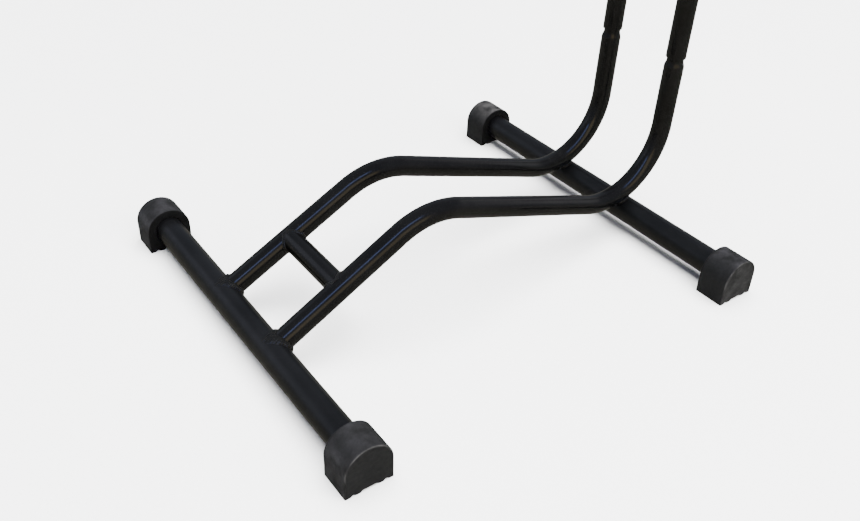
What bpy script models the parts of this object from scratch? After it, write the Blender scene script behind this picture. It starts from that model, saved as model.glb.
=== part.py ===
"""Floor stand that holds a bicycle by one wheel, between two bent rails and a tall hoop.

Frame: +X runs from the low front end, where the wheel rolls in, to the hoop at the rear.
+Y is the left side and +Z is up. The origin is on the floor, under the middle of the
stand's bounding box. All sizes are in metres.
"""

import math

import bmesh
import bpy
from mathutils import Matrix, Vector

# Clearances
GAP = 0.0003                     # left between pieces that touch
OVERRUN = 0.003                  # how far a bore is cut past an open end

# Foot tubes, lying across the stand
FOOT_SPACING = 0.396
FOOT_AXIS_HEIGHT = 0.020
FOOT_RADIUS = 0.0125
FOOT_WALL = 0.0015

# Rubber caps on the ends of the foot tubes: half round on top, flat and ribbed underneath
STAND_WIDTH = 0.3838
CAP_RADIUS = 0.0205
CAP_LENGTH = 0.02925
CAP_END_WALL = 0.004
CAP_ROUNDING = 0.0025
CAP_ROUNDING_STEPS = 2
CAP_ARC_STEPS = 16
RIB_WIDTH = 0.004
RIB_OFFSET = 0.0096              # from the cap's middle to an inner rib's middle
GROOVE_DEPTH = 0.0016

# Rails: up from the front foot tube, over a bend, down over the rear foot tube, then upright
RAIL_RADIUS = 0.0095
RAIL_WALL = 0.0012
RAIL_FRONT_HALF_SPACING = 0.0441
RAIL_HALF_SPACING = 0.042
RAIL_RISE = math.radians(28.2)
FRONT_CORNER_X = 0.1526
FRONT_BEND_RADIUS = 0.0766
FRONT_BEND_STEPS = 7
REAR_CORNER_X = 0.4313
REAR_CORNER_HEIGHT = 0.0115
REAR_BEND_RADIUS = 0.0684
REAR_BEND_STEPS = 12
UPRIGHT_LEAN = math.radians(0.98)

# Swaged neck at the top of each rail, which plugs into the hoop
SHOULDER_HEIGHT = 0.1635
NECK_START_HEIGHT = 0.170
NECK_RADIUS = 0.008
NECK_INSERTION = 0.035

# Hoop: one tube bent into a closed, narrow arch
HOOP_END_HEIGHT = 0.173
STAND_HEIGHT = 0.675
HOOP_BEND_STEPS = 14

# Crossbar between the rising rails
CROSSBAR_X = 0.0659

# Weld beads
BEAD_RADIUS = 0.0018
BEAD_STANDOFF = 0.0006           # from each welded surface to the bead's centre line
BEAD_STEPS = 20
BEAD_SIDES = 8
PAD_HALF_LENGTH = 0.0062         # of the oval bead round a rail's contact with the rear foot tube
PAD_HALF_WIDTH = 0.0058

# Number of flats that make up a round tube; a swept tube needs 4 plus an even number
TUBE_SIDES = 20
FOOT_SIDES = 24

SIDES = {"left": 1, "right": -1}

POWDER_COAT = {"colour": (0.020, 0.021, 0.023, 1.0), "roughness": 0.38, "metallic": 0.0}
RUBBER = {"colour": (0.045, 0.046, 0.044, 1.0), "roughness": 0.85, "metallic": 0.0}


# Derived places

def upright_point(height, side):
    """The centre of an upright, or of the hoop's leg above it, at a height."""
    run = (height - REAR_CORNER_HEIGHT) * math.tan(UPRIGHT_LEAN)
    return Vector((REAR_CORNER_X + run, side * RAIL_HALF_SPACING, height))


UPRIGHT_DIRECTION = Vector((math.sin(UPRIGHT_LEAN), 0, math.cos(UPRIGHT_LEAN)))
HOOP_TOP_X = upright_point(STAND_HEIGHT - RAIL_RADIUS, 0).x
ORIGIN_X = (HOOP_TOP_X + RAIL_RADIUS - CAP_RADIUS) / 2
TUBE_HALF_LENGTH = STAND_WIDTH / 2 - CAP_END_WALL - GAP
FOOT_PLACES = {"front": 0.0, "rear": FOOT_SPACING}


def rail_rise_point(x, side):
    """A point of the rail's centre line on its straight rise from the front foot tube."""
    toe = (RAIL_HALF_SPACING - RAIL_FRONT_HALF_SPACING) * x / FRONT_CORNER_X
    height = FOOT_AXIS_HEIGHT + x * math.tan(RAIL_RISE)
    return Vector((x, side * (RAIL_FRONT_HALF_SPACING + toe), height))


def bend_centre(before, corner, after, radius):
    """The centre of the arc of a given radius that rounds a corner."""
    incoming = (corner - before).normalized()
    outgoing = (after - corner).normalized()
    inward = (outgoing - incoming * incoming.dot(outgoing)).normalized()
    cut_back = radius * math.tan(incoming.angle(outgoing) / 2)
    return corner - incoming * cut_back + inward * radius


def fillet(before, corner, after, radius, steps):
    """Points of the arc of a given radius that rounds a corner."""
    incoming = (corner - before).normalized()
    outgoing = (after - corner).normalized()
    turn = incoming.angle(outgoing)
    inward = (outgoing - incoming * incoming.dot(outgoing)).normalized()
    centre = bend_centre(before, corner, after, radius)
    points = []
    for step in range(steps + 1):
        angle = turn * step / steps
        points.append(centre + radius * (math.sin(angle) * incoming - math.cos(angle) * inward))
    return points


def rail_corners(side):
    """The rail's straight runs meet here: foot tube's axis, two bends and the shoulder."""
    return [rail_rise_point(0, side),
            rail_rise_point(FRONT_CORNER_X, side),
            upright_point(REAR_CORNER_HEIGHT, side),
            upright_point(SHOULDER_HEIGHT, side)]


def rail_path(side):
    """The rail's centre line from the front foot tube's axis to the shoulder below the neck."""
    start, front_corner, rear_corner, shoulder = rail_corners(side)
    front_bend = fillet(start, front_corner, rear_corner, FRONT_BEND_RADIUS, FRONT_BEND_STEPS)
    rear_bend = fillet(front_corner, rear_corner, shoulder, REAR_BEND_RADIUS, REAR_BEND_STEPS)
    return [start, *front_bend, *rear_bend, shoulder]


def hoop_path():
    """The hoop's centre line: up the left leg, round the half circle and down the right leg."""
    bend_height = STAND_HEIGHT - RAIL_RADIUS - RAIL_HALF_SPACING * math.cos(UPRIGHT_LEAN)
    centre = upright_point(bend_height, 0)
    points = [upright_point(HOOP_END_HEIGHT, 1)]
    for step in range(HOOP_BEND_STEPS + 1):
        angle = math.pi * step / HOOP_BEND_STEPS
        across = Vector((0, math.cos(angle), 0))
        points.append(centre + RAIL_HALF_SPACING * (across + math.sin(angle) * UPRIGHT_DIRECTION))
    points.append(upright_point(HOOP_END_HEIGHT, -1))
    return points


def run_past_ends(points):
    """The same path, run on straight past its two ends, for a cutter."""
    first = points[0] + (points[0] - points[1]).normalized() * OVERRUN
    last = points[-1] + (points[-1] - points[-2]).normalized() * OVERRUN
    return [first, *points[1:-1], last]


def saddle_loop(foot_point, direction, radius, other_point, other_direction, other_radius):
    """The closed curve where a round tube, coming from foot_point, leaves another round tube."""
    direction = direction.normalized()
    other_direction = other_direction.normalized()
    first = direction.cross(other_direction).normalized()
    second = direction.cross(first)
    slope = direction - other_direction * direction.dot(other_direction)
    points = []
    for step in range(BEAD_STEPS):
        angle = 2 * math.pi * step / BEAD_STEPS
        edge = foot_point + radius * (math.cos(angle) * first + math.sin(angle) * second)
        offset = edge - other_point
        offset -= other_direction * offset.dot(other_direction)
        half_b = offset.dot(slope)
        excess = offset.length_squared - other_radius ** 2
        travel = math.sqrt(half_b ** 2 - slope.length_squared * excess) - half_b
        points.append(edge + direction * travel / slope.length_squared)
    return points


# Mesh building

def round_bar(points, radii, sides, cyclic=False):
    """A solid round bar along a run of points, with a radius at each point."""
    curve = bpy.data.curves.new("bar", "CURVE")
    curve.dimensions = "3D"
    curve.bevel_depth = 1.0
    curve.bevel_resolution = (sides - 4) // 2
    curve.use_fill_caps = not cyclic
    spline = curve.splines.new("POLY")
    spline.use_cyclic_u = cyclic
    spline.points.add(len(points) - 1)
    for knot, centre, radius in zip(spline.points, points, radii):
        knot.co = (*centre, 1.0)
        knot.radius = radius
    bar = bpy.data.objects.new("bar", curve)
    mesh = bpy.data.meshes.new_from_object(bar)
    bpy.data.objects.remove(bar)
    bpy.data.curves.remove(curve)
    return mesh


def uniform_bar(points, radius, sides=TUBE_SIDES, cyclic=False):
    """A solid round bar of one radius."""
    return round_bar(points, [radius] * len(points), sides, cyclic)


def add_object(name, mesh, origin=Vector((0, 0, 0))):
    """An object whose mesh is given in the stand's own X from the front foot tube's axis."""
    mesh.name = name
    mesh.transform(Matrix.Translation(-origin))
    part = bpy.data.objects.new(name, mesh)
    part.location = origin - Vector((ORIGIN_X, 0, 0))
    bpy.context.scene.collection.objects.link(part)
    return part


def add_cutter(name, mesh):
    """A guide that only cuts other pieces."""
    cutter = add_object(name, mesh)
    cutter.hide_render = True
    cutter.display_type = "WIRE"
    return cutter


def cut(part, cutter):
    """Takes the cutter's volume away from the part."""
    modifier = part.modifiers.new(cutter.name, "BOOLEAN")
    modifier.operation = "DIFFERENCE"
    modifier.solver = "EXACT"
    modifier.object = cutter


def finish(part, look):
    """Smooth shading on round faces, and the part's own material."""
    part.data.shade_smooth()
    part.data.set_sharp_from_angle(angle=math.radians(35))
    material = bpy.data.materials.new(part.name)
    material.use_nodes = True
    shader = material.node_tree.nodes["Principled BSDF"]
    shader.inputs["Base Color"].default_value = look["colour"]
    shader.inputs["Roughness"].default_value = look["roughness"]
    shader.inputs["Metallic"].default_value = look["metallic"]
    part.data.materials.append(material)


# Cutters that more than one piece shares

def foot_line(x, half_length):
    """The two ends of a line along a foot tube's axis."""
    return [Vector((x, side * half_length, FOOT_AXIS_HEIGHT)) for side in (-1, 1)]


def crossbar_ends():
    """The crossbar's two ends, on the rails' centre lines."""
    return [rail_rise_point(CROSSBAR_X, side) for side in (-1, 1)]


def add_clearances():
    """Each tube's outer shape plus the gap, for cutting the pieces that touch it."""
    clearances = {}
    for end, x in FOOT_PLACES.items():
        line = foot_line(x, TUBE_HALF_LENGTH + GAP)
        bar = uniform_bar(line, FOOT_RADIUS + GAP, FOOT_SIDES)
        clearances[end + "_foot"] = add_cutter(end + "_foot_clearance", bar)
    for name, side in SIDES.items():
        bar = uniform_bar(rail_path(side), RAIL_RADIUS + GAP)
        clearances[name + "_rail"] = add_cutter(name + "_rail_clearance", bar)
    bar = uniform_bar(crossbar_ends(), RAIL_RADIUS + GAP)
    clearances["crossbar"] = add_cutter("crossbar_clearance", bar)
    return clearances


# Pieces

def make_foot_tube(end, x):
    """A straight tube across the stand, open at both ends inside its caps."""
    line = foot_line(x, TUBE_HALF_LENGTH)
    tube = add_object(end + "_foot_tube", uniform_bar(line, FOOT_RADIUS, FOOT_SIDES))
    bore = uniform_bar(run_past_ends(line), FOOT_RADIUS - FOOT_WALL, FOOT_SIDES)
    cut(tube, add_cutter(end + "_foot_bore", bore))
    finish(tube, POWDER_COAT)


def cap_outline():
    """The cap's section: four flat ribs underneath, straight sides and a half-round top."""
    edge_rib = CAP_RADIUS - RIB_WIDTH / 2
    points = []
    for rib in (-edge_rib, -RIB_OFFSET, RIB_OFFSET, edge_rib):
        points.append((rib - RIB_WIDTH / 2, GROOVE_DEPTH))
        points.append((rib - RIB_WIDTH / 2, 0))
        points.append((rib + RIB_WIDTH / 2, 0))
        points.append((rib + RIB_WIDTH / 2, GROOVE_DEPTH))
    points = points[1:-1]        # the outermost rib walls run on into the sides
    for step in range(CAP_ARC_STEPS + 1):
        angle = math.pi * step / CAP_ARC_STEPS
        height = FOOT_AXIS_HEIGHT + CAP_RADIUS * math.sin(angle)
        points.append((CAP_RADIUS * math.cos(angle), height))
    return points


def cap_mesh(side):
    """A solid cap, flat inside and rounded round its outer end face."""
    inner = side * (STAND_WIDTH / 2 - CAP_LENGTH)
    outer = side * STAND_WIDTH / 2
    shape = bmesh.new()
    corners = [shape.verts.new((x, inner, z)) for x, z in cap_outline()]
    shape.faces.new(corners)
    bmesh.ops.extrude_face_region(shape, geom=shape.faces[:])
    for corner in corners:
        corner.co.y = outer
    rounded = []
    for edge in shape.edges:
        at_end = all(abs(vertex.co.y - outer) < GAP for vertex in edge.verts)
        above_ribs = max(vertex.co.z for vertex in edge.verts) > 2 * GROOVE_DEPTH
        if at_end and above_ribs:
            rounded.append(edge)
    bmesh.ops.bevel(shape, geom=rounded, offset=CAP_ROUNDING, segments=CAP_ROUNDING_STEPS,
                    affect="EDGES", profile=0.5)
    bmesh.ops.recalc_face_normals(shape, faces=shape.faces)
    mesh = bpy.data.meshes.new("cap")
    shape.to_mesh(mesh)
    shape.free()
    return mesh


def make_foot_cap(end, x, name, side, clearances):
    """A rubber cap with a blind socket that grips the end of a foot tube."""
    mesh = cap_mesh(side)
    mesh.transform(Matrix.Translation((x, 0, 0)))
    cap = add_object(end + "_" + name + "_foot_cap", mesh)
    cut(cap, clearances[end + "_foot"])
    finish(cap, RUBBER)


def make_rail(name, side, clearances):
    """One bent rail: coped onto the front foot tube below, necked down at the top."""
    body = rail_path(side)
    neck_start = upright_point(NECK_START_HEIGHT, side)
    neck_end = upright_point(HOOP_END_HEIGHT, side) + UPRIGHT_DIRECTION * NECK_INSERTION
    path = [*body, neck_start, neck_end]
    radii = [RAIL_RADIUS] * len(body) + [NECK_RADIUS] * 2
    rail = add_object(name + "_rail", round_bar(path, radii, TUBE_SIDES))
    bore_radii = [radius - RAIL_WALL for radius in radii]
    bore = round_bar(run_past_ends(path), bore_radii, TUBE_SIDES)
    cut(rail, add_cutter(name + "_rail_bore", bore))
    cut(rail, clearances["front_foot"])
    finish(rail, POWDER_COAT)


def make_crossbar(clearances):
    """The short tube between the rising rails, coped at both ends."""
    line = crossbar_ends()
    crossbar = add_object("crossbar", uniform_bar(line, RAIL_RADIUS))
    bore = uniform_bar(run_past_ends(line), RAIL_RADIUS - RAIL_WALL)
    cut(crossbar, add_cutter("crossbar_bore", bore))
    for name in SIDES:
        cut(crossbar, clearances[name + "_rail"])
    finish(crossbar, POWDER_COAT)


def make_hoop():
    """The tall arch that drops over both necks; its origin is between its leg ends."""
    path = hoop_path()
    origin = upright_point(HOOP_END_HEIGHT, 0)
    hoop = add_object("hoop", uniform_bar(path, RAIL_RADIUS), origin)
    bore = uniform_bar(run_past_ends(path), RAIL_RADIUS - RAIL_WALL)
    cut(hoop, add_cutter("hoop_bore", bore))
    finish(hoop, POWDER_COAT)


def make_bead(name, loop, clearances, touching):
    """A weld bead along a closed loop, cut clear of the tubes that it joins."""
    bead = add_object(name, uniform_bar(loop, BEAD_RADIUS, BEAD_SIDES, cyclic=True))
    for tube in touching:
        cut(bead, clearances[tube])
    finish(bead, POWDER_COAT)


def rail_foot_loop(side):
    """The bead's centre line round a rail's lower end, on the front foot tube."""
    start = rail_rise_point(0, side)
    rise = rail_rise_point(FRONT_CORNER_X, side) - start
    return saddle_loop(start, rise, RAIL_RADIUS + BEAD_STANDOFF,
                       start, Vector((0, 1, 0)), FOOT_RADIUS + BEAD_STANDOFF)


def crossbar_loop(side):
    """The bead's centre line round the crossbar's end, on the inner side of a rail."""
    end = rail_rise_point(CROSSBAR_X, side)
    rise = rail_rise_point(FRONT_CORNER_X, side) - end
    return saddle_loop(end, Vector((0, -side, 0)), RAIL_RADIUS + BEAD_STANDOFF,
                       end, rise, RAIL_RADIUS + 2 * BEAD_STANDOFF)


def rear_contact_loop(side):
    """The oval bead's centre line round the place where a rail crosses the rear foot tube."""
    foot_axis = Vector((FOOT_SPACING, side * RAIL_HALF_SPACING, FOOT_AXIS_HEIGHT))
    normal = bend_centre(*rail_corners(side)[1:], REAR_BEND_RADIUS) - foot_axis
    normal.normalize()
    along = Vector((normal.z, 0, -normal.x))
    contact = foot_axis + normal * (FOOT_RADIUS + GAP / 2)
    points = []
    for step in range(BEAD_STEPS):
        angle = 2 * math.pi * step / BEAD_STEPS
        length = PAD_HALF_LENGTH * math.cos(angle)
        width = PAD_HALF_WIDTH * math.sin(angle)
        rail_lift = width ** 2 / (2 * RAIL_RADIUS)
        rail_lift += length ** 2 / (2 * (REAR_BEND_RADIUS + RAIL_RADIUS))
        foot_drop = length ** 2 / (2 * FOOT_RADIUS)
        middle = (rail_lift - foot_drop) / 2
        points.append(contact + along * length + Vector((0, width, 0)) + normal * middle)
    return points


def make_weld_beads(clearances):
    """Three beads on each side: at the front foot tube, the crossbar and the rear foot tube."""
    for name, side in SIDES.items():
        rail = name + "_rail"
        make_bead(name + "_front_foot_weld", rail_foot_loop(side), clearances,
                  [rail, "front_foot"])
        make_bead(name + "_crossbar_weld", crossbar_loop(side), clearances,
                  [rail, "crossbar"])
        make_bead(name + "_rear_foot_weld", rear_contact_loop(side), clearances,
                  [rail, "rear_foot"])


def clear_scene():
    """Removes every object that the file holds."""
    for leftover in list(bpy.data.objects):
        bpy.data.objects.remove(leftover)


def main():
    """Builds every piece of the stand."""
    clear_scene()
    clearances = add_clearances()
    for end, x in FOOT_PLACES.items():
        make_foot_tube(end, x)
        for name, side in SIDES.items():
            make_foot_cap(end, x, name, side, clearances)
    for name, side in SIDES.items():
        make_rail(name, side, clearances)
    make_crossbar(clearances)
    make_hoop()
    make_weld_beads(clearances)


main()
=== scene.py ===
"""Looks of the bicycle floor stand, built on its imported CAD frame. Lengths are in metres."""

import math

import bmesh
import bpy
from mathutils import Matrix, Vector, noise


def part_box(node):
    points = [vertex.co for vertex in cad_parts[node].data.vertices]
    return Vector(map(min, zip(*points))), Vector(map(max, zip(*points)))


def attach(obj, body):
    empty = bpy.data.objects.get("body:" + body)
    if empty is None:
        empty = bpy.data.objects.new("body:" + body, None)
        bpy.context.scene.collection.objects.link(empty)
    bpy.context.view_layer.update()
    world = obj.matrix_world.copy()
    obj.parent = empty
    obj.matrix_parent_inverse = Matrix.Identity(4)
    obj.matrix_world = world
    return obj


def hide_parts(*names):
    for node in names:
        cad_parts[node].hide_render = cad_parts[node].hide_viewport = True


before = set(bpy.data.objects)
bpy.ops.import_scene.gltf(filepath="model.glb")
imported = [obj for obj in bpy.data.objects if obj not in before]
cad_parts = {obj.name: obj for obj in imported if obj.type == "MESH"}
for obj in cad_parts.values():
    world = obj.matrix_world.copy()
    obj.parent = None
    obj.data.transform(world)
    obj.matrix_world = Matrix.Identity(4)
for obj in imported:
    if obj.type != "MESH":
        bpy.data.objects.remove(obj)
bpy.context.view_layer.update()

# Sizes read from the frame
FOOT_ENDS = ("front", "rear")
SIDES = {"left": 1, "right": -1}


def box_middle(node):
    """The middle of a CAD node's box."""
    low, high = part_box(node)
    return (low + high) / 2


def box_size(node):
    """The lengths of a CAD node's box."""
    low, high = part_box(node)
    return high - low


FOOT_X = {end: box_middle(end + "_foot_tube").x for end in FOOT_ENDS}
FOOT_HEIGHT = box_middle("front_foot_tube").z
FOOT_RADIUS = box_size("front_foot_tube").z / 2
FOOT_HALF_LENGTH = box_size("front_foot_tube").y / 2
FOOT_WALL = 0.0015
CAP_RADIUS = box_size("front_left_foot_cap").x / 2
CAP_LENGTH = box_size("front_left_foot_cap").y
CAP_OUTER_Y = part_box("front_left_foot_cap")[1].y
RAIL_RADIUS = box_size("crossbar").z / 2
RAIL_WALL = 0.0012
HALF_SPACING = box_size("hoop").y / 2 - RAIL_RADIUS
HOOP_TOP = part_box("hoop")[1].z
HOOP_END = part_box("hoop")[0].z
CROSSBAR_X = box_middle("crossbar").x
NECK_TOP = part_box("left_rail")[1].z

# The rails' route, which the boxes don't hold
FRONT_HALF_SPACING = 0.0441
RAIL_RISE = math.radians(28.2)
FRONT_CORNER_RUN = 0.1526          # from the front foot tube's axis
FRONT_BEND_RADIUS = 0.0766
REAR_CORNER_RUN = 0.4313
REAR_CORNER_HEIGHT = 0.0115
REAR_BEND_RADIUS = 0.0684
UPRIGHT_LEAN = math.radians(0.98)
SHOULDER_HEIGHT = 0.1635
NECK_START_HEIGHT = 0.1700
NECK_RADIUS = 0.0080
SWAGE_RING_HEIGHT = 0.1605         # a faint ring where the swaging tool stopped
SWAGE_RING_DEPTH = 0.00016
SWAGE_RING_REACH = 0.0012

UPRIGHT = Vector((math.sin(UPRIGHT_LEAN), 0, math.cos(UPRIGHT_LEAN)))
ACROSS = Vector((0, 1, 0))

# Fineness of the visible meshes
TUBE_SIDES = 56
BEND_STEP = math.radians(1.8)
STRAIGHT_STEP = 0.006
FINE_RUN_STEPS = 8
SHARP_ANGLE = math.radians(50)     # sharper edges than this are shaded as creases
LIP_RADIUS = 0.0004
LIP_STEPS = 4

# Marks that the bending die leaves where a bend starts and ends
DIE_MARK_DEPTH = 0.00012
DIE_MARK_LENGTH = 0.0022

# Welds
WELD_STEPS = 220                   # round the joint
WELD_ARC_STEPS = 9                 # across the weld's face
FOOT_WELD_LEG = 0.0031
CROSSBAR_WELD_LEG = 0.0020
WELD_FULLNESS = 1.15               # 1 is a round face, 2 a flat one
WELD_ROOT = 0.0003                 # how far a weld reaches into both tubes
WELD_ROOT_WIDTH = 0.9              # of the weld's leg, on both tubes
EAR_THINNING = 0.75                # where two tubes of one size meet edge to edge
RIPPLE_PITCH = 0.0015
RIPPLE_DEPTH = 0.07
LUMP_DEPTH = 0.30
LUMP_SCALE = 330
REAR_BEAD_RADIUS = 0.0018
REAR_BEAD_SIDES = 16
PAD_HALF_LENGTH = 0.0062
PAD_HALF_WIDTH = 0.0058

# Foot caps
CAP_ARC_STEPS = 48
CAP_SIDE_STEPS = 8
CAP_UNDERSIDE_STEPS = 64
CAP_EDGE_RADIUS = 0.0011
CAP_EDGE_STEPS = 5
CAP_INNER_EDGE = ((0.0, 0.0006), (0.0003, 0.00015), (0.0008, 0.0))     # (from inner face, inset)
CAP_END_DISH = ((0.0001, 0.0020), (0.0002, 0.0032))     # (sunk into the end face, inset)
UNDERSIDE_LIFT = 0.4               # of an inset, how far the underside rises with it
CAP_SOCKET_GAP = 0.0003
CAP_END_WALL = 0.0040
CAP_SLICES = 14
TOLERANCE = 0.00001
RIB_OFFSET = 0.0096
RIB_WIDTH = 0.0050
RIB_DEPTH = 0.0016
RIB_FLAT_SHARE = 0.3               # of a rib's width, each way from its middle
REAR_FACE_WEAR = 0.18              # the rear caps' end faces are scuffed paler
DUSTINESS = {("front", "right"): 0.7, ("front", "left"): 1.0,
             ("rear", "right"): 1.3, ("rear", "left"): 1.6}
LOW_RUB_AND_HIGHLIGHT = 0.12                    # of the edge's paleness, rubbed and painted highlight, on its straight lower stretches
EDGE_RUB_AND_HIGHLIGHT = 0.5                    # how pale the round part of the end face's edge is: rubbed rubber with a painted highlight
TOP_WEAR = {("rear", "left"): 0.6}             # one cap's top is rubbed too
TOP_WEAR_POWER = 3                 # how fast that fades down the round top
SIDE_PALING = {"front": 22.0, "rear": 0.0}       # a larger share of the dust tone on the sides that face -X, so they read paler
SIDE_PALING_POWER = 8                # how fast that fades over the round top


# Routes

def rise_point(run, side):
    """A point on a rail's straight rise, at a distance in X from the front foot tube's axis."""
    toe = (HALF_SPACING - FRONT_HALF_SPACING) * run / FRONT_CORNER_RUN
    height = FOOT_HEIGHT + run * math.tan(RAIL_RISE)
    return Vector((FOOT_X["front"] + run, side * (FRONT_HALF_SPACING + toe), height))


def upright_point(height, side):
    """The centre of an upright, or of the hoop's leg above it, at a height."""
    run = REAR_CORNER_RUN + (height - REAR_CORNER_HEIGHT) * math.tan(UPRIGHT_LEAN)
    return Vector((FOOT_X["front"] + run, side * HALF_SPACING, height))


def straight(start, end):
    """Evenly spaced points of a straight run, without its end."""
    count = max(1, round((end - start).length / STRAIGHT_STEP))
    return [start.lerp(end, step / count) for step in range(count)]


def bend_centre(before, corner, after, radius):
    """The centre of the arc of a given radius that rounds a corner."""
    incoming = (corner - before).normalized()
    outgoing = (after - corner).normalized()
    inward = (outgoing - incoming * incoming.dot(outgoing)).normalized()
    cut_back = radius * math.tan(incoming.angle(outgoing) / 2)
    return corner - incoming * cut_back + inward * radius


def bend(before, corner, after, radius):
    """Points of the arc of a given radius that rounds a corner."""
    incoming = (corner - before).normalized()
    outgoing = (after - corner).normalized()
    turn = incoming.angle(outgoing)
    inward = (outgoing - incoming * incoming.dot(outgoing)).normalized()
    centre = bend_centre(before, corner, after, radius)
    count = math.ceil(turn / BEND_STEP)
    points = []
    for step in range(count + 1):
        angle = turn * step / count
        points.append(centre + radius * (math.sin(angle) * incoming - math.cos(angle) * inward))
    return points


def rail_corners(side):
    """Where the rail's straight runs meet: foot tube's axis, two bends and the neck's top."""
    return [rise_point(0, side), rise_point(FRONT_CORNER_RUN, side),
            upright_point(REAR_CORNER_HEIGHT, side), upright_point(NECK_TOP, side)]


def rail_route(side):
    """The rail's centre line, and the points on it where bends start and end."""
    start, front, rear, top = rail_corners(side)
    front_bend = bend(start, front, rear, FRONT_BEND_RADIUS)
    rear_bend = bend(front, rear, top, REAR_BEND_RADIUS)
    points = straight(start, front_bend[0]) + front_bend
    points += straight(front_bend[-1], rear_bend[0])[1:] + rear_bend
    neck_heights = (SWAGE_RING_HEIGHT - SWAGE_RING_REACH, SWAGE_RING_HEIGHT + SWAGE_RING_REACH,
                    SHOULDER_HEIGHT, NECK_START_HEIGHT)
    stops = [rear_bend[-1], *[upright_point(height, side) for height in neck_heights], top]
    for low, high in zip(stops, stops[1:]):
        points += fine_run(low, high)
    return points, [front_bend[0], front_bend[-1], rear_bend[0], rear_bend[-1]]


def fine_run(start, end):
    """Closely spaced points of a short straight run, without its start."""
    return [start.lerp(end, (step + 1) / FINE_RUN_STEPS) for step in range(FINE_RUN_STEPS)]


def hoop_route():
    """The hoop's centre line, and the points on it where its bend starts and ends."""
    bend_height = HOOP_TOP - RAIL_RADIUS - HALF_SPACING * math.cos(UPRIGHT_LEAN)
    centre = upright_point(bend_height, 0)
    arch = []
    count = math.ceil(math.pi / BEND_STEP)
    for step in range(count + 1):
        angle = math.pi * step / count
        arch.append(centre + HALF_SPACING * (math.cos(angle) * ACROSS + math.sin(angle) * UPRIGHT))
    leg_ends = [upright_point(HOOP_END, side) for side in (1, -1)]
    points = straight(leg_ends[0], arch[0]) + arch + straight(arch[-1], leg_ends[1])[1:]
    return points + [leg_ends[1]], [arch[0], arch[-1]]


# Meshes

def ring_frames(points, cyclic=False):
    """A pair of crosswise directions at each point of a route, turned as little as possible."""
    count = len(points)
    tangents = []
    for index in range(count):
        before = points[index - 1] if index or cyclic else points[0]
        after = points[(index + 1) % count] if index < count - 1 or cyclic else points[-1]
        tangents.append((after - before).normalized())
    first = tangents[0].orthogonal().normalized()
    frames = []
    for tangent in tangents:
        first = (first - tangent * first.dot(tangent)).normalized()
        frames.append((first.copy(), tangent.cross(first)))
    return tangents, frames


def add_ring(shape, centre, pair, radius, sides):
    """One ring of corners round a point."""
    ring = []
    for side in range(sides):
        angle = 2 * math.pi * side / sides
        outward = math.cos(angle) * pair[0] + math.sin(angle) * pair[1]
        ring.append(shape.verts.new(centre + radius * outward))
    return ring


def join_rings(shape, first, second):
    """A band of faces between two rings."""
    count = len(first)
    for index in range(count):
        after = (index + 1) % count
        shape.faces.new((first[index], first[after], second[after], second[index]))


def finish_mesh(shape, name):
    """Ends a mesh under construction: outward faces, smooth shading."""
    bmesh.ops.recalc_face_normals(shape, faces=shape.faces)
    mesh = bpy.data.meshes.new(name)
    shape.to_mesh(mesh)
    shape.free()
    mesh.shade_smooth()
    mesh.set_sharp_from_angle(angle=SHARP_ANGLE)
    return mesh


def open_tube(name, points, radius_at, wall):
    """A tube with rounded lips at both open ends; radius_at gives the radius at a point's number."""
    shape = bmesh.new()
    tangents, frames = ring_frames(points)
    last = len(points) - 1
    rings = []

    def place(index, inset, radius):
        along = tangents[index] * (inset if index == 0 else -inset)
        rings.append(add_ring(shape, points[index] + along, frames[index], radius, TUBE_SIDES))

    def lip(index, outward):
        for step in range(LIP_STEPS + 1):
            angle = math.pi / 2 * step / LIP_STEPS
            inset = LIP_RADIUS * (1 - math.sin(angle))
            drop = LIP_RADIUS * (1 - math.cos(angle))
            yield index, inset, radius_at(index) - drop if outward else radius_at(index) - wall + drop

    for values in reversed(list(lip(0, True))):
        place(*values)
    for index in range(1, last):
        place(index, 0, radius_at(index))
    for values in lip(last, True):
        place(*values)
    for values in reversed(list(lip(last, False))):
        place(*values)
    for index in range(last - 1, 0, -1):
        place(index, 0, radius_at(index) - wall)
    for values in lip(0, False):
        place(*values)
    for first, second in zip(rings, rings[1:] + rings[:1]):
        join_rings(shape, first, second)
    return finish_mesh(shape, name)


def bead_mesh(name, points, radius_at):
    """A closed round bead along a loop."""
    shape = bmesh.new()
    frames = ring_frames(points, cyclic=True)[1]
    rings = []
    for index, point in enumerate(points):
        rings.append(add_ring(shape, point, frames[index], radius_at(index), REAR_BEAD_SIDES))
    for first, second in zip(rings, rings[1:]):
        join_rings(shape, first, second)
    bridge_twisted(shape, rings[-1], rings[0])
    return finish_mesh(shape, name)


def bridge_twisted(shape, last, first):
    """Joins a loop's last ring to its first, whichever corner of the first lies nearest."""
    offsets = range(len(first))
    shift = min(offsets, key=lambda offset: (first[offset].co - last[0].co).length)
    join_rings(shape, last, first[shift:] + first[:shift])


def solid_bar(points, radius, sides):
    """A closed straight bar, for cutting."""
    shape = bmesh.new()
    frames = ring_frames(points)[1]
    rings = [add_ring(shape, point, frames[index], radius, sides) for index, point in enumerate(points)]
    for first, second in zip(rings, rings[1:]):
        join_rings(shape, first, second)
    shape.faces.new(rings[0])
    shape.faces.new(rings[-1])
    return finish_mesh(shape, "cutter")


def add_piece(name, mesh, body, nodes, material):
    """A visible piece that stands for CAD nodes and rides on their body."""
    piece = bpy.data.objects.new(name, mesh)
    bpy.context.scene.collection.objects.link(piece)
    piece.data.materials.append(material)
    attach(piece, body)
    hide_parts(*nodes)
    return piece


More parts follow.
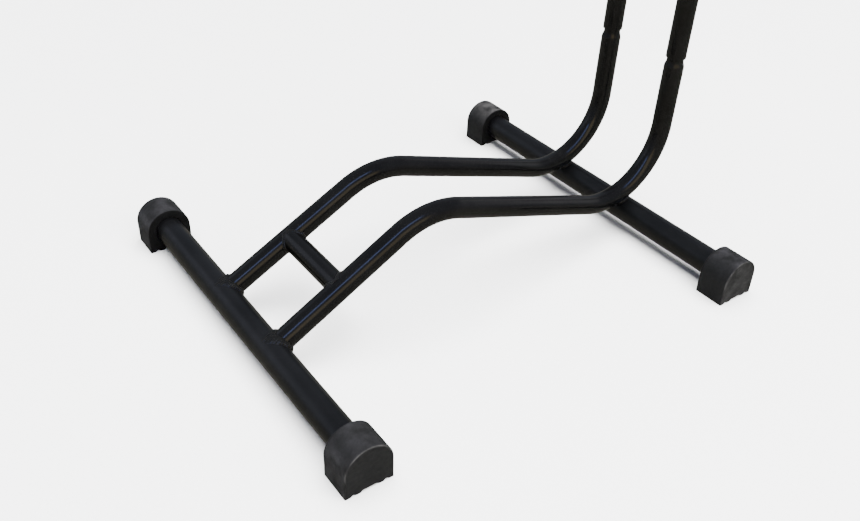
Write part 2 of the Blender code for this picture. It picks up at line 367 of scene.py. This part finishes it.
def carved(mesh, cutters):
    """The mesh with each cutter's volume taken away."""
    scene = bpy.context.scene
    piece = bpy.data.objects.new("uncut", mesh)
    scene.collection.objects.link(piece)
    guides = []
    for cutter in cutters:
        guide = bpy.data.objects.new("guide", cutter)
        scene.collection.objects.link(guide)
        guides.append(guide)
        modifier = piece.modifiers.new("cut", "BOOLEAN")
        modifier.operation = "DIFFERENCE"
        modifier.solver = "EXACT"
        modifier.object = guide
    graph = bpy.context.evaluated_depsgraph_get()
    result = bpy.data.meshes.new_from_object(piece.evaluated_get(graph))
    for leftover in (piece, *guides):
        bpy.data.objects.remove(leftover)
    result.shade_smooth()
    result.set_sharp_from_angle(angle=SHARP_ANGLE)
    return result


# Materials

def socket(material, name, value):
    """Sets one input of a material's shader."""
    material.node_tree.nodes["Principled BSDF"].inputs[name].default_value = value


def new_material(name):
    """A material with its shader, its node tree and the object's own coordinates."""
    material = bpy.data.materials.new(name)
    material.use_nodes = True
    nodes = material.node_tree.nodes
    place = nodes.new("ShaderNodeTexCoord")
    return material, nodes, material.node_tree.links, place.outputs["Object"]


def noise_node(nodes, links, place, scale, detail, roughness=0.5):
    """A noise pattern with a scale in waves a metre."""
    pattern = nodes.new("ShaderNodeTexNoise")
    pattern.inputs["Scale"].default_value = scale
    pattern.inputs["Detail"].default_value = detail
    pattern.inputs["Roughness"].default_value = roughness
    links.new(place, pattern.inputs["Vector"])
    return pattern.outputs["Fac"]


def ramp_node(nodes, links, source, stops):
    """Maps a value to a colour through stops of (place, grey or colour)."""
    ramp = nodes.new("ShaderNodeValToRGB")
    elements = ramp.color_ramp.elements
    while len(elements) < len(stops):
        elements.new(0.5)
    for element, (position, colour) in zip(elements, stops):
        element.position = position
        element.color = (*colour, 1) if isinstance(colour, tuple) else (colour, colour, colour, 1)
    links.new(source, ramp.inputs["Fac"])
    return ramp.outputs["Color"]


def mix_node(nodes, links, share, first, second):
    """Mixes two colour outputs by a share."""
    mix = nodes.new("ShaderNodeMix")
    mix.data_type = "RGBA"
    links.new(share, mix.inputs["Factor"])
    links.new(first, mix.inputs["A"])
    links.new(second, mix.inputs["B"])
    return mix.outputs["Result"]


def bump_chain(nodes, links, heights):
    """Bumps of (source, distance, strength), one on top of the other."""
    normal = None
    for source, distance, strength in heights:
        bump = nodes.new("ShaderNodeBump")
        bump.inputs["Distance"].default_value = distance
        bump.inputs["Strength"].default_value = strength
        links.new(source, bump.inputs["Height"])
        if normal is not None:
            links.new(normal, bump.inputs["Normal"])
        normal = bump.outputs["Normal"]
    links.new(normal, nodes["Principled BSDF"].inputs["Normal"])


def powder_coat(name, dark, light, smooth, rough, peel):
    """Black powder coat: orange peel, faint cloudiness, rubbed patches and specks of dust."""
    material, nodes, links, place = new_material(name)
    shader = nodes["Principled BSDF"]
    cloud = noise_node(nodes, links, place, 22, 4)
    specks = noise_node(nodes, links, place, 1900, 2, 0.7)
    rubs = noise_node(nodes, links, place, 75, 6, 0.65)
    base = ramp_node(nodes, links, cloud, [(0.3, dark), (0.7, light)])
    dust_tones = [(0.3, (0.009, 0.009, 0.010)), (0.7, (0.014, 0.0135, 0.0125))]
    dust = ramp_node(nodes, links, cloud, dust_tones)
    speck_share = ramp_node(nodes, links, specks, [(0.72, 0.0), (0.82, 0.2)])
    links.new(mix_node(nodes, links, speck_share, base, dust), shader.inputs["Base Color"])
    gloss = ramp_node(nodes, links, rubs, [(0.35, smooth), (0.72, rough)])
    links.new(gloss, shader.inputs["Roughness"])
    peel_pattern = noise_node(nodes, links, place, 640, 2, 0.4)
    wave = noise_node(nodes, links, place, 120, 2, 0.4)
    bump_chain(nodes, links, [(peel_pattern, 0.0001, peel), (wave, 0.0002, peel * 0.2)])
    socket(material, "Specular IOR Level", 0.45)
    return material


def weld_coat():
    """The same paint, drawn tight over the ripples and pits of a weld."""
    material, nodes, links, place = new_material("painted_weld")
    shader = nodes["Principled BSDF"]
    pits = noise_node(nodes, links, place, 1100, 4, 0.6)
    lumps = noise_node(nodes, links, place, 420, 3, 0.5)
    tones = [(0.3, (0.0012, 0.0012, 0.0012)), (0.75, (0.0036, 0.0035, 0.0030))]
    links.new(ramp_node(nodes, links, lumps, tones), shader.inputs["Base Color"])
    links.new(ramp_node(nodes, links, pits, [(0.3, 0.22), (0.7, 0.40)]), shader.inputs["Roughness"])
    bump_chain(nodes, links, [(pits, 0.00010, 0.4), (lumps, 0.0003, 0.5)])
    return material


def product(nodes, links, first, second):
    """Multiplies two values."""
    result = nodes.new("ShaderNodeMath")
    result.operation = "MULTIPLY"
    links.new(first, result.inputs[0])
    links.new(second, result.inputs[1])
    return result.outputs[0]


def attribute_node(nodes, name):
    """A value stored at a mesh's corners."""
    stored = nodes.new("ShaderNodeAttribute")
    stored.attribute_name = name
    return stored.outputs["Fac"]


def moulded_rubber():
    """Dusty black rubber: chalky patches, rubbed edges with a painted highlight, a fine grain, and
    near-black painted shade on the inner faces.
    """
    material, nodes, links, place = new_material("foot_rubber")
    shader = nodes["Principled BSDF"]
    patches = noise_node(nodes, links, place, 85, 7, 0.62)
    clouds = noise_node(nodes, links, place, 30, 3, 0.5)
    grain = noise_node(nodes, links, place, 2300, 3, 0.6)
    scuffs = noise_node(nodes, links, place, 210, 8, 0.7)
    rubber_tones = [(0.3, (0.0042, 0.0043, 0.0044)), (0.7, (0.0056, 0.0056, 0.0056))]
    dust_tones = [(0.3, (0.0125, 0.0122, 0.0140)), (0.7, (0.0200, 0.0194, 0.0216))]
    rubbed_and_highlight_tones = [(0.3, (0.034, 0.033, 0.032)), (0.7, (0.055, 0.053, 0.051))]
    rubber = ramp_node(nodes, links, clouds, rubber_tones)
    dust = ramp_node(nodes, links, grain, dust_tones)
    facing = nodes.new("ShaderNodeSeparateXYZ")
    links.new(nodes.new("ShaderNodeNewGeometry").outputs["Normal"], facing.inputs["Vector"])
    upward = ramp_node(nodes, links, facing.outputs["Z"], [(0.30, 0.06), (0.78, 0.30), (1.0, 1.0)])
    settled = ramp_node(nodes, links, patches, [(0.36, 0.0), (0.66, 0.75)])
    cover = attribute_node(nodes, "dust_and_paling_cover")
    dust_share = product(nodes, links, product(nodes, links, upward, settled), cover)
    dusty = mix_node(nodes, links, dust_share, rubber, dust)
    wear = attribute_node(nodes, "wear_and_edge_highlight")
    patchy = ramp_node(nodes, links, patches, [(0.38, 0.15), (0.60, 1.0)])
    # the paler edge colour: rubbed rubber and a painted highlight along the end face's round edge
    rubbed = ramp_node(nodes, links, grain, rubbed_and_highlight_tones)
    rubbed_and_highlight_share = product(nodes, links, wear, patchy)
    outer = mix_node(nodes, links, rubbed_and_highlight_share, dusty, rubbed)
    # the inner faces get a near-black painted shade and a weaker specular, standing for the shade on
    # them
    inner = attribute_node(nodes, "inner_face_shade")
    painted_inner_shade = ramp_node(nodes, links, clouds, [(0.3, 0.0018), (0.7, 0.0026)])
    links.new(mix_node(nodes, links, inner, outer, painted_inner_shade), shader.inputs["Base Color"])
    shine = ramp_node(nodes, links, inner, [(0.0, 0.3), (1.0, 0.14)])
    links.new(shine, shader.inputs["Specular IOR Level"])
    links.new(ramp_node(nodes, links, scuffs, [(0.3, 0.62), (0.7, 0.84)]), shader.inputs["Roughness"])
    bump_chain(nodes, links, [(grain, 0.00006, 0.5), (scuffs, 0.00025, 0.35)])
    return material


def studio_floor():
    """Matte white paper with a barely visible tooth."""
    material, nodes, links, place = new_material("studio_paper")
    tooth = noise_node(nodes, links, place, 400, 3)
    white = ramp_node(nodes, links, tooth, [(0.3, 0.90), (0.7, 0.93)])
    links.new(white, nodes["Principled BSDF"].inputs["Base Color"])
    socket(material, "Roughness", 0.9)
    return material


# Pieces

def near_mark(point, marks):
    """How deep a die mark is at a point, as a share of its full depth."""
    distance = min((point - mark).length for mark in marks)
    return max(0.0, 1 - distance / DIE_MARK_LENGTH)


def smooth_share(share):
    """Eases a share in and out between 0 and 1."""
    share = min(1.0, max(0.0, share))
    return share * share * (3 - 2 * share)


def neck_drop(height):
    """How much thinner an upright is at a height: the swage up to the neck and its faint ring."""
    swage = smooth_share((height - SHOULDER_HEIGHT) / (NECK_START_HEIGHT - SHOULDER_HEIGHT))
    ring = smooth_share(1 - abs(height - SWAGE_RING_HEIGHT) / SWAGE_RING_REACH)
    return (RAIL_RADIUS - NECK_RADIUS) * swage + SWAGE_RING_DEPTH * ring


def make_rails(paint):
    """Two bent rails with bending marks and a smooth swage up to each neck."""
    for name, side in SIDES.items():
        points, marks = rail_route(side)

        def radius_at(index):
            radius = RAIL_RADIUS - DIE_MARK_DEPTH * near_mark(points[index], marks)
            return radius - neck_drop(points[index].z) if index > len(points) / 2 else radius

        foot = [Vector((FOOT_X["front"], y, FOOT_HEIGHT)) for y in (0, side * FOOT_HALF_LENGTH)]
        mesh = open_tube(name + "_rail_tube", points, radius_at, RAIL_WALL)
        mesh = carved(mesh, [solid_bar(foot, FOOT_RADIUS, TUBE_SIDES)])
        add_piece(name + "_rail_tube", mesh, "base", [name + "_rail"], paint)


def make_hoop(paint):
    """The tall arch."""
    points, marks = hoop_route()

    def radius_at(index):
        return RAIL_RADIUS - DIE_MARK_DEPTH * near_mark(points[index], marks)

    mesh = open_tube("hoop_tube", points, radius_at, RAIL_WALL)
    add_piece("hoop_tube", mesh, "hoop_assembly", ["hoop"], paint)


def make_crossbar(paint):
    """The crossbar, coped round both rails."""
    ends = [rise_point(CROSSBAR_X - FOOT_X["front"], side) for side in (-1, 1)]
    points = straight(*ends) + [ends[1]]
    mesh = open_tube("crossbar_tube", points, lambda index: RAIL_RADIUS, RAIL_WALL)
    cutters = []
    for side in (-1, 1):
        line = [rise_point(0, side), rise_point(FRONT_CORNER_RUN, side)]
        cutters.append(solid_bar(line, RAIL_RADIUS, TUBE_SIDES))
    add_piece("crossbar_tube", carved(mesh, cutters), "base", ["crossbar"], paint)


def make_foot_tubes(paint):
    """The two cross tubes."""
    for end in FOOT_ENDS:
        ends = [Vector((FOOT_X[end], y, FOOT_HEIGHT)) for y in (-FOOT_HALF_LENGTH, FOOT_HALF_LENGTH)]
        points = straight(*ends) + [ends[1]]
        mesh = open_tube(end + "_cross_tube", points, lambda index: FOOT_RADIUS, FOOT_WALL)
        add_piece(end + "_cross_tube", mesh, "base", [end + "_foot_tube"], paint)


def saddle_point(angle, start, direction, radius, other_direction, other_radius):
    """Where a line along a tube, at an angle round it, leaves another tube that starts at its axis."""
    first = direction.cross(other_direction).normalized()
    second = direction.cross(first)
    offset = radius * (math.cos(angle) * first + math.sin(angle) * second)
    edge = start + offset
    offset = offset - other_direction * offset.dot(other_direction)
    slope = direction - other_direction * direction.dot(other_direction)
    half_b = offset.dot(slope)
    excess = offset.length_squared - other_radius ** 2
    reach = math.sqrt(max(0.0, half_b ** 2 - slope.length_squared * excess))
    return edge + direction * (reach - half_b) / slope.length_squared


def weld_section(leg):
    """A fillet's section: pairs of (height over the branch tube, height over the main tube)."""
    section = []
    for step in range(WELD_ARC_STEPS + 1):
        angle = math.pi / 2 * step / WELD_ARC_STEPS
        section.append((leg * math.sin(angle) ** WELD_FULLNESS, leg * math.cos(angle) ** WELD_FULLNESS))
    root = leg * WELD_ROOT_WIDTH
    return section + [(root, -WELD_ROOT), (-WELD_ROOT, -WELD_ROOT), (-WELD_ROOT, root)]


def fillet_weld(name, start, direction, main_direction, main_radius, leg, thinning):
    """A lumpy, rippled fillet round the place where a rail-sized tube leaves a main tube."""
    direction = direction.normalized()
    main_direction = main_direction.normalized()
    ripples = round(2 * math.pi * RAIL_RADIUS / RIPPLE_PITCH)
    shape = bmesh.new()
    rings = []
    for step in range(WELD_STEPS):
        angle = 2 * math.pi * step / WELD_STEPS
        centre = saddle_point(angle, start, direction, RAIL_RADIUS, main_direction, main_radius)
        unevenness = 1 + RIPPLE_DEPTH * math.cos(ripples * angle)
        unevenness += LUMP_DEPTH * noise.noise(centre * LUMP_SCALE)
        size = leg * unevenness * (1 - thinning * math.cos(angle) ** 2)
        ring = []
        for over_branch, over_main in weld_section(size):
            corner = saddle_point(angle, start, direction, RAIL_RADIUS + over_branch,
                                  main_direction, main_radius + over_main)
            ring.append(shape.verts.new(corner))
        rings.append(ring)
    for first, second in zip(rings, rings[1:] + rings[:1]):
        join_rings(shape, first, second)
    return finish_mesh(shape, name)


def contact_loop(side):
    """An oval round the place where a rail crosses the rear foot tube."""
    foot_axis = Vector((FOOT_X["rear"], side * HALF_SPACING, FOOT_HEIGHT))
    normal = bend_centre(*rail_corners(side)[1:], REAR_BEND_RADIUS) - foot_axis
    normal.normalize()
    along = Vector((normal.z, 0, -normal.x))
    contact = foot_axis + normal * FOOT_RADIUS
    points = []
    for step in range(WELD_STEPS):
        angle = 2 * math.pi * step / WELD_STEPS
        length = PAD_HALF_LENGTH * math.cos(angle)
        width = PAD_HALF_WIDTH * math.sin(angle)
        rail_lift = width ** 2 / (2 * RAIL_RADIUS)
        rail_lift += length ** 2 / (2 * (REAR_BEND_RADIUS + RAIL_RADIUS))
        foot_drop = length ** 2 / (2 * FOOT_RADIUS)
        points.append(contact + along * length + ACROSS * width + normal * (rail_lift - foot_drop) / 2)
    return points


def rear_bead(name, points):
    """A rippled bead along a loop."""
    travelled = [0.0]
    for before, after in zip(points, points[1:]):
        travelled.append(travelled[-1] + (after - before).length)
    ripples = round(travelled[-1] / RIPPLE_PITCH)

    def radius_at(index):
        phase = 2 * math.pi * ripples * travelled[index] / travelled[-1]
        lump = LUMP_DEPTH * noise.noise(points[index] * LUMP_SCALE)
        return REAR_BEAD_RADIUS * (1 + RIPPLE_DEPTH * math.cos(phase) + lump)

    return bead_mesh(name, points, radius_at)


def make_welds(coat):
    """Three welds on each side: at the front foot tube, the crossbar and the rear foot tube."""
    for name, side in SIDES.items():
        start = rise_point(0, side)
        crossing = rise_point(CROSSBAR_X - FOOT_X["front"], side)
        rise = rise_point(FRONT_CORNER_RUN, side) - start
        welds = {
            "front": fillet_weld(name + "_front_bead", start, rise, ACROSS, FOOT_RADIUS,
                                 FOOT_WELD_LEG, 0.0),
            "crossbar": fillet_weld(name + "_crossbar_bead", crossing, ACROSS * -side, rise,
                                    RAIL_RADIUS, CROSSBAR_WELD_LEG, EAR_THINNING),
            "rear": rear_bead(name + "_rear_bead", contact_loop(side))}
        for place, mesh in welds.items():
            node = name + ("_crossbar_weld" if place == "crossbar" else "_" + place + "_foot_weld")
            add_piece(name + "_" + place + "_bead", mesh, "base", [node], coat)


def rib_height(x):
    """How far the underside stands above the floor: rounded ribs with shallow grooves between."""
    ribs = (-CAP_RADIUS + RIB_WIDTH / 2, -RIB_OFFSET, RIB_OFFSET, CAP_RADIUS - RIB_WIDTH / 2)
    nearest = min(abs(x - rib) for rib in ribs)
    if abs(x) > CAP_RADIUS - RIB_WIDTH / 2:
        nearest = 0
    return RIB_DEPTH * smooth_share((nearest - RIB_WIDTH * RIB_FLAT_SHARE) / (RIB_WIDTH / 2))


def cap_outline():
    """The cap's section, from its lower left round the top: points of (x, z)."""
    points = []
    for step in range(CAP_UNDERSIDE_STEPS + 1):
        x = -CAP_RADIUS + 2 * CAP_RADIUS * step / CAP_UNDERSIDE_STEPS
        points.append((x, rib_height(x)))
    for step in range(1, CAP_SIDE_STEPS):
        points.append((CAP_RADIUS, FOOT_HEIGHT * step / CAP_SIDE_STEPS))
    for step in range(CAP_ARC_STEPS + 1):
        angle = math.pi * step / CAP_ARC_STEPS
        points.append((CAP_RADIUS * math.cos(angle), FOOT_HEIGHT + CAP_RADIUS * math.sin(angle)))
    for step in range(CAP_SIDE_STEPS - 1, 0, -1):
        points.append((-CAP_RADIUS, FOOT_HEIGHT * step / CAP_SIDE_STEPS))
    return points


def cap_slices(face_wear):
    """Sections from the inner face to the outer one: (distance from inner face, inset, wear and painted
    edge highlight).
    """
    slices = [(reach, inset, 0.0) for reach, inset in CAP_INNER_EDGE]
    body_start = CAP_INNER_EDGE[-1][0]
    body = CAP_LENGTH - CAP_EDGE_RADIUS - body_start
    for step in range(1, CAP_SLICES):
        slices.append((body_start + body * step / CAP_SLICES, 0.0, 0.0))
    for step in range(CAP_EDGE_STEPS + 1):
        angle = math.pi / 2 * step / CAP_EDGE_STEPS
        reach = CAP_LENGTH - CAP_EDGE_RADIUS * (1 - math.sin(angle))
        rub_and_highlight = max(EDGE_RUB_AND_HIGHLIGHT * math.sin(2 * angle), face_wear * math.sin(angle))
        slices.append((reach, CAP_EDGE_RADIUS * (1 - math.cos(angle)), rub_and_highlight))
    for sunk, inset in CAP_END_DISH:
        slices.append((CAP_LENGTH - sunk, inset, face_wear))
    return slices


def inset_point(x, z, inset):
    """A point of the outline moved inwards, towards the foot tube's axis line."""
    if z < FOOT_HEIGHT:
        on_underside = z < RIB_DEPTH + TOLERANCE
        moved_x = max(-CAP_RADIUS + inset, min(CAP_RADIUS - inset, x))
        return moved_x, z + (inset * UNDERSIDE_LIFT if on_underside else 0)
    reach = math.hypot(x, z - FOOT_HEIGHT)
    share = (reach - inset) / reach
    return x * share, FOOT_HEIGHT + (z - FOOT_HEIGHT) * share


def cap_mesh(end, side_name):
    """One solid moulded cap, with the wear, painted edge highlight and dust of its place, and paler
    sides facing -X on the front caps, stored at its corners.
    """
    shape = bmesh.new()
    wear = shape.verts.layers.float.new("wear_and_edge_highlight")
    cover = shape.verts.layers.float.new("dust_and_paling_cover")
    face_wear = REAR_FACE_WEAR if end == "rear" else 0.0
    top_wear = TOP_WEAR.get((end, side_name), 0.0)
    outline = cap_outline()
    rings = []
    for reach, inset, rub_and_highlight in cap_slices(face_wear):
        y = SIDES[side_name] * (CAP_OUTER_Y - CAP_LENGTH + reach)
        on_body = inset == 0
        ring = []
        for x, z in outline:
            moved_x, moved_z = inset_point(x, z, inset)
            corner = shape.verts.new((FOOT_X[end] + moved_x, y, moved_z))
            # the edge's round top gets its full paleness, partly a painted highlight; its lower
            # straight stretches get little
            corner[wear] = rub_and_highlight if z >= FOOT_HEIGHT else max(rub_and_highlight * LOW_RUB_AND_HIGHLIGHT, min(rub_and_highlight, face_wear))
            corner[cover] = DUSTINESS[end, side_name]
            if on_body:
                upward = max(0.0, (z - FOOT_HEIGHT) / CAP_RADIUS)
                corner[wear] = max(corner[wear], top_wear * upward ** TOP_WEAR_POWER)
                # the front caps' sides that face -X are made paler here
                sideways = max(0.0, -x / CAP_RADIUS)
                corner[cover] += SIDE_PALING[end] * sideways ** SIDE_PALING_POWER
            ring.append(corner)
        rings.append(ring)
    for first, second in zip(rings, rings[1:]):
        join_rings(shape, first, second)
    shape.faces.new(rings[0])
    shape.faces.new(rings[-1])
    return finish_mesh(shape, end + "_" + side_name + "_cap")


def mark_inner_face(mesh, face_y):
    """Marks the corners on a cap's inner face, the mouth of its socket included, where shade is
    painted.
    """
    inner = mesh.attributes.new("inner_face_shade", "FLOAT", "POINT")
    for vertex in mesh.vertices:
        on_face = abs(vertex.co.y - face_y) < TOLERANCE
        inner.data[vertex.index].value = 1.0 if on_face else 0.0


def make_caps(rubber):
    """Four moulded caps, each with a blind socket for the tube's end."""
    for end in FOOT_ENDS:
        for side_name, side in SIDES.items():
            node = end + "_" + side_name + "_foot_cap"
            mesh = cap_mesh(end, side_name)
            socket_ends = [Vector((FOOT_X[end], side * y, FOOT_HEIGHT))
                           for y in (0, CAP_OUTER_Y - CAP_END_WALL)]
            mesh = carved(mesh, [solid_bar(socket_ends, FOOT_RADIUS + CAP_SOCKET_GAP, TUBE_SIDES)])
            mark_inner_face(mesh, side * (CAP_OUTER_Y - CAP_LENGTH))
            add_piece("rubber_" + node, mesh, "base", [node], rubber)


# Studio

CAMERA_PLACE = Vector((-0.2259, -0.5595, 0.5113))   # from the front foot tube's axis on the floor
CAMERA_YAW = math.radians(37.19)
CAMERA_PITCH = math.radians(-35.75)
CAMERA_ROLL = math.radians(2.47)
CAMERA_LENS = 38.24                # both in millimetres
SENSOR_WIDTH = 36
CAMERA_SHIFT = (-0.0112, -0.0012)
LIGHT_TARGET = Vector((0, 0, 0.1))
FLOOR_HALF_SIZE = 30
KEY_PLACE = (0.3, 0.0, 2.5)
KEY_STRENGTH = 16.5
KEY_SPREAD = math.radians(65)
BACKDROP_STRENGTH = 4.6
ROOM_ABOVE = (0.20, 0.22, 0.27)
ROOM_BELOW = (0.27, 0.26, 0.22)


def make_camera():
    """The photograph's point of view."""
    forward = Vector((math.sin(CAMERA_YAW) * math.cos(CAMERA_PITCH),
                      math.cos(CAMERA_YAW) * math.cos(CAMERA_PITCH), math.sin(CAMERA_PITCH)))
    level_right = Vector((math.cos(CAMERA_YAW), -math.sin(CAMERA_YAW), 0))
    level_up = level_right.cross(forward)
    right = level_right * math.cos(CAMERA_ROLL) + level_up * math.sin(CAMERA_ROLL)
    up = level_up * math.cos(CAMERA_ROLL) - level_right * math.sin(CAMERA_ROLL)
    data = bpy.data.cameras.new("camera")
    data.lens = CAMERA_LENS
    data.sensor_width = SENSOR_WIDTH
    data.shift_x, data.shift_y = CAMERA_SHIFT
    data.clip_start = 0.01
    camera = bpy.data.objects.new("camera", data)
    turn = Matrix((right, up, -forward)).transposed().to_4x4()
    camera.matrix_world = Matrix.Translation(CAMERA_PLACE + Vector((FOOT_X["front"], 0, 0))) @ turn
    bpy.context.scene.collection.objects.link(camera)
    bpy.context.scene.camera = camera


def place_light(name, data, place, reflected):
    """Aims a light at the stand; it is either reflected in the paint or lights it softly."""
    light = bpy.data.objects.new(name, data)
    light.visible_camera = False
    light.visible_glossy = reflected
    light.visible_diffuse = not reflected
    backwards = (Vector(place) - LIGHT_TARGET).normalized()
    length = Vector((1, 0, 0))
    length = (length - backwards * length.dot(backwards)).normalized()
    turn = Matrix((length, backwards.cross(length), backwards)).transposed().to_4x4()
    light.matrix_world = Matrix.Translation(Vector(place)) @ turn
    bpy.context.scene.collection.objects.link(light)


def add_panel(name, place, size, power, colour, reflected):
    """A soft rectangular light; size is its length along X and its width."""
    data = bpy.data.lights.new(name, "AREA")
    data.shape = "RECTANGLE"
    data.size, data.size_y = size
    data.energy = power
    data.color = colour
    place_light(name, data, place, reflected)


def add_overhead_key():
    """A broad, even light from above that the paint doesn't mirror."""
    data = bpy.data.lights.new("key_above", "SUN")
    data.energy = KEY_STRENGTH
    data.angle = KEY_SPREAD
    place_light("key_above", data, KEY_PLACE, reflected=False)


def add_surround():
    """A pale backdrop for the camera; the paint mirrors a dim room, cool above and warm below."""
    world = bpy.data.worlds.new("studio_room")
    world.use_nodes = True
    nodes, links = world.node_tree.nodes, world.node_tree.links
    place = nodes.new("ShaderNodeTexCoord")
    direction = nodes.new("ShaderNodeSeparateXYZ")
    links.new(place.outputs["Generated"], direction.inputs["Vector"])
    height = nodes.new("ShaderNodeMapRange")
    height.inputs["From Min"].default_value = -1
    links.new(direction.outputs["Z"], height.inputs["Value"])
    room = nodes["Background"]
    shade = ramp_node(nodes, links, height.outputs["Result"], [(0.42, ROOM_BELOW), (0.62, ROOM_ABOVE)])
    links.new(shade, room.inputs["Color"])
    backdrop = nodes.new("ShaderNodeBackground")
    backdrop.inputs["Color"].default_value = (1, 1, 1, 1)
    backdrop.inputs["Strength"].default_value = BACKDROP_STRENGTH
    choice = nodes.new("ShaderNodeMixShader")
    links.new(nodes.new("ShaderNodeLightPath").outputs["Is Camera Ray"], choice.inputs["Fac"])
    links.new(room.outputs["Background"], choice.inputs[1])
    links.new(backdrop.outputs["Background"], choice.inputs[2])
    links.new(choice.outputs["Shader"], nodes["World Output"].inputs["Surface"])
    bpy.context.scene.world = world


def make_studio():
    """A pale floor, broad keys that light it, and narrow lights that only the paint reflects."""
    shape = bmesh.new()
    bmesh.ops.create_grid(shape, x_segments=2, y_segments=2, size=FLOOR_HALF_SIZE)
    mesh = bpy.data.meshes.new("studio_floor")
    shape.to_mesh(mesh)
    shape.free()
    floor = bpy.data.objects.new("studio_floor", mesh)
    floor.data.materials.append(studio_floor())
    floor.visible_glossy = False
    bpy.context.scene.collection.objects.link(floor)
    add_overhead_key()
    add_panel("key_front", (0.6, -2.3, 1.7), (2.6, 2.0), 190, (1.0, 0.99, 0.97), reflected=False)
    add_panel("window_strip", (-1.1, -1.5, 2.4), (3.6, 0.34), 24, (0.33, 0.45, 1.0), reflected=True)
    add_panel("warm_lamp", (-0.5, -2.4, 1.0), (3.2, 1.1), 12, (1.0, 0.78, 0.40), reflected=True)
    add_panel("cool_wall", (-2.0, 2.0, 1.4), (2.4, 1.2), 4, (0.80, 0.84, 1.0), reflected=True)
    add_panel("pale_wall", (3.0, -0.3, 1.1), (1.2, 2.5), 4, (1.0, 0.97, 0.93), reflected=True)
    add_surround()


rail_paint = powder_coat("rail_powder_coat", (0.0011, 0.0011, 0.0012), (0.0022, 0.0022, 0.0022),
                         0.13, 0.20, 0.06)
foot_paint = powder_coat("foot_powder_coat", (0.0015, 0.0015, 0.0017), (0.0027, 0.0027, 0.0030),
                         0.28, 0.38, 0.18)
weld_paint = weld_coat()
foot_rubber = moulded_rubber()

make_camera()
make_rails(rail_paint)
make_hoop(rail_paint)
make_crossbar(rail_paint)
make_foot_tubes(foot_paint)
make_welds(weld_paint)
make_caps(foot_rubber)
make_studio()
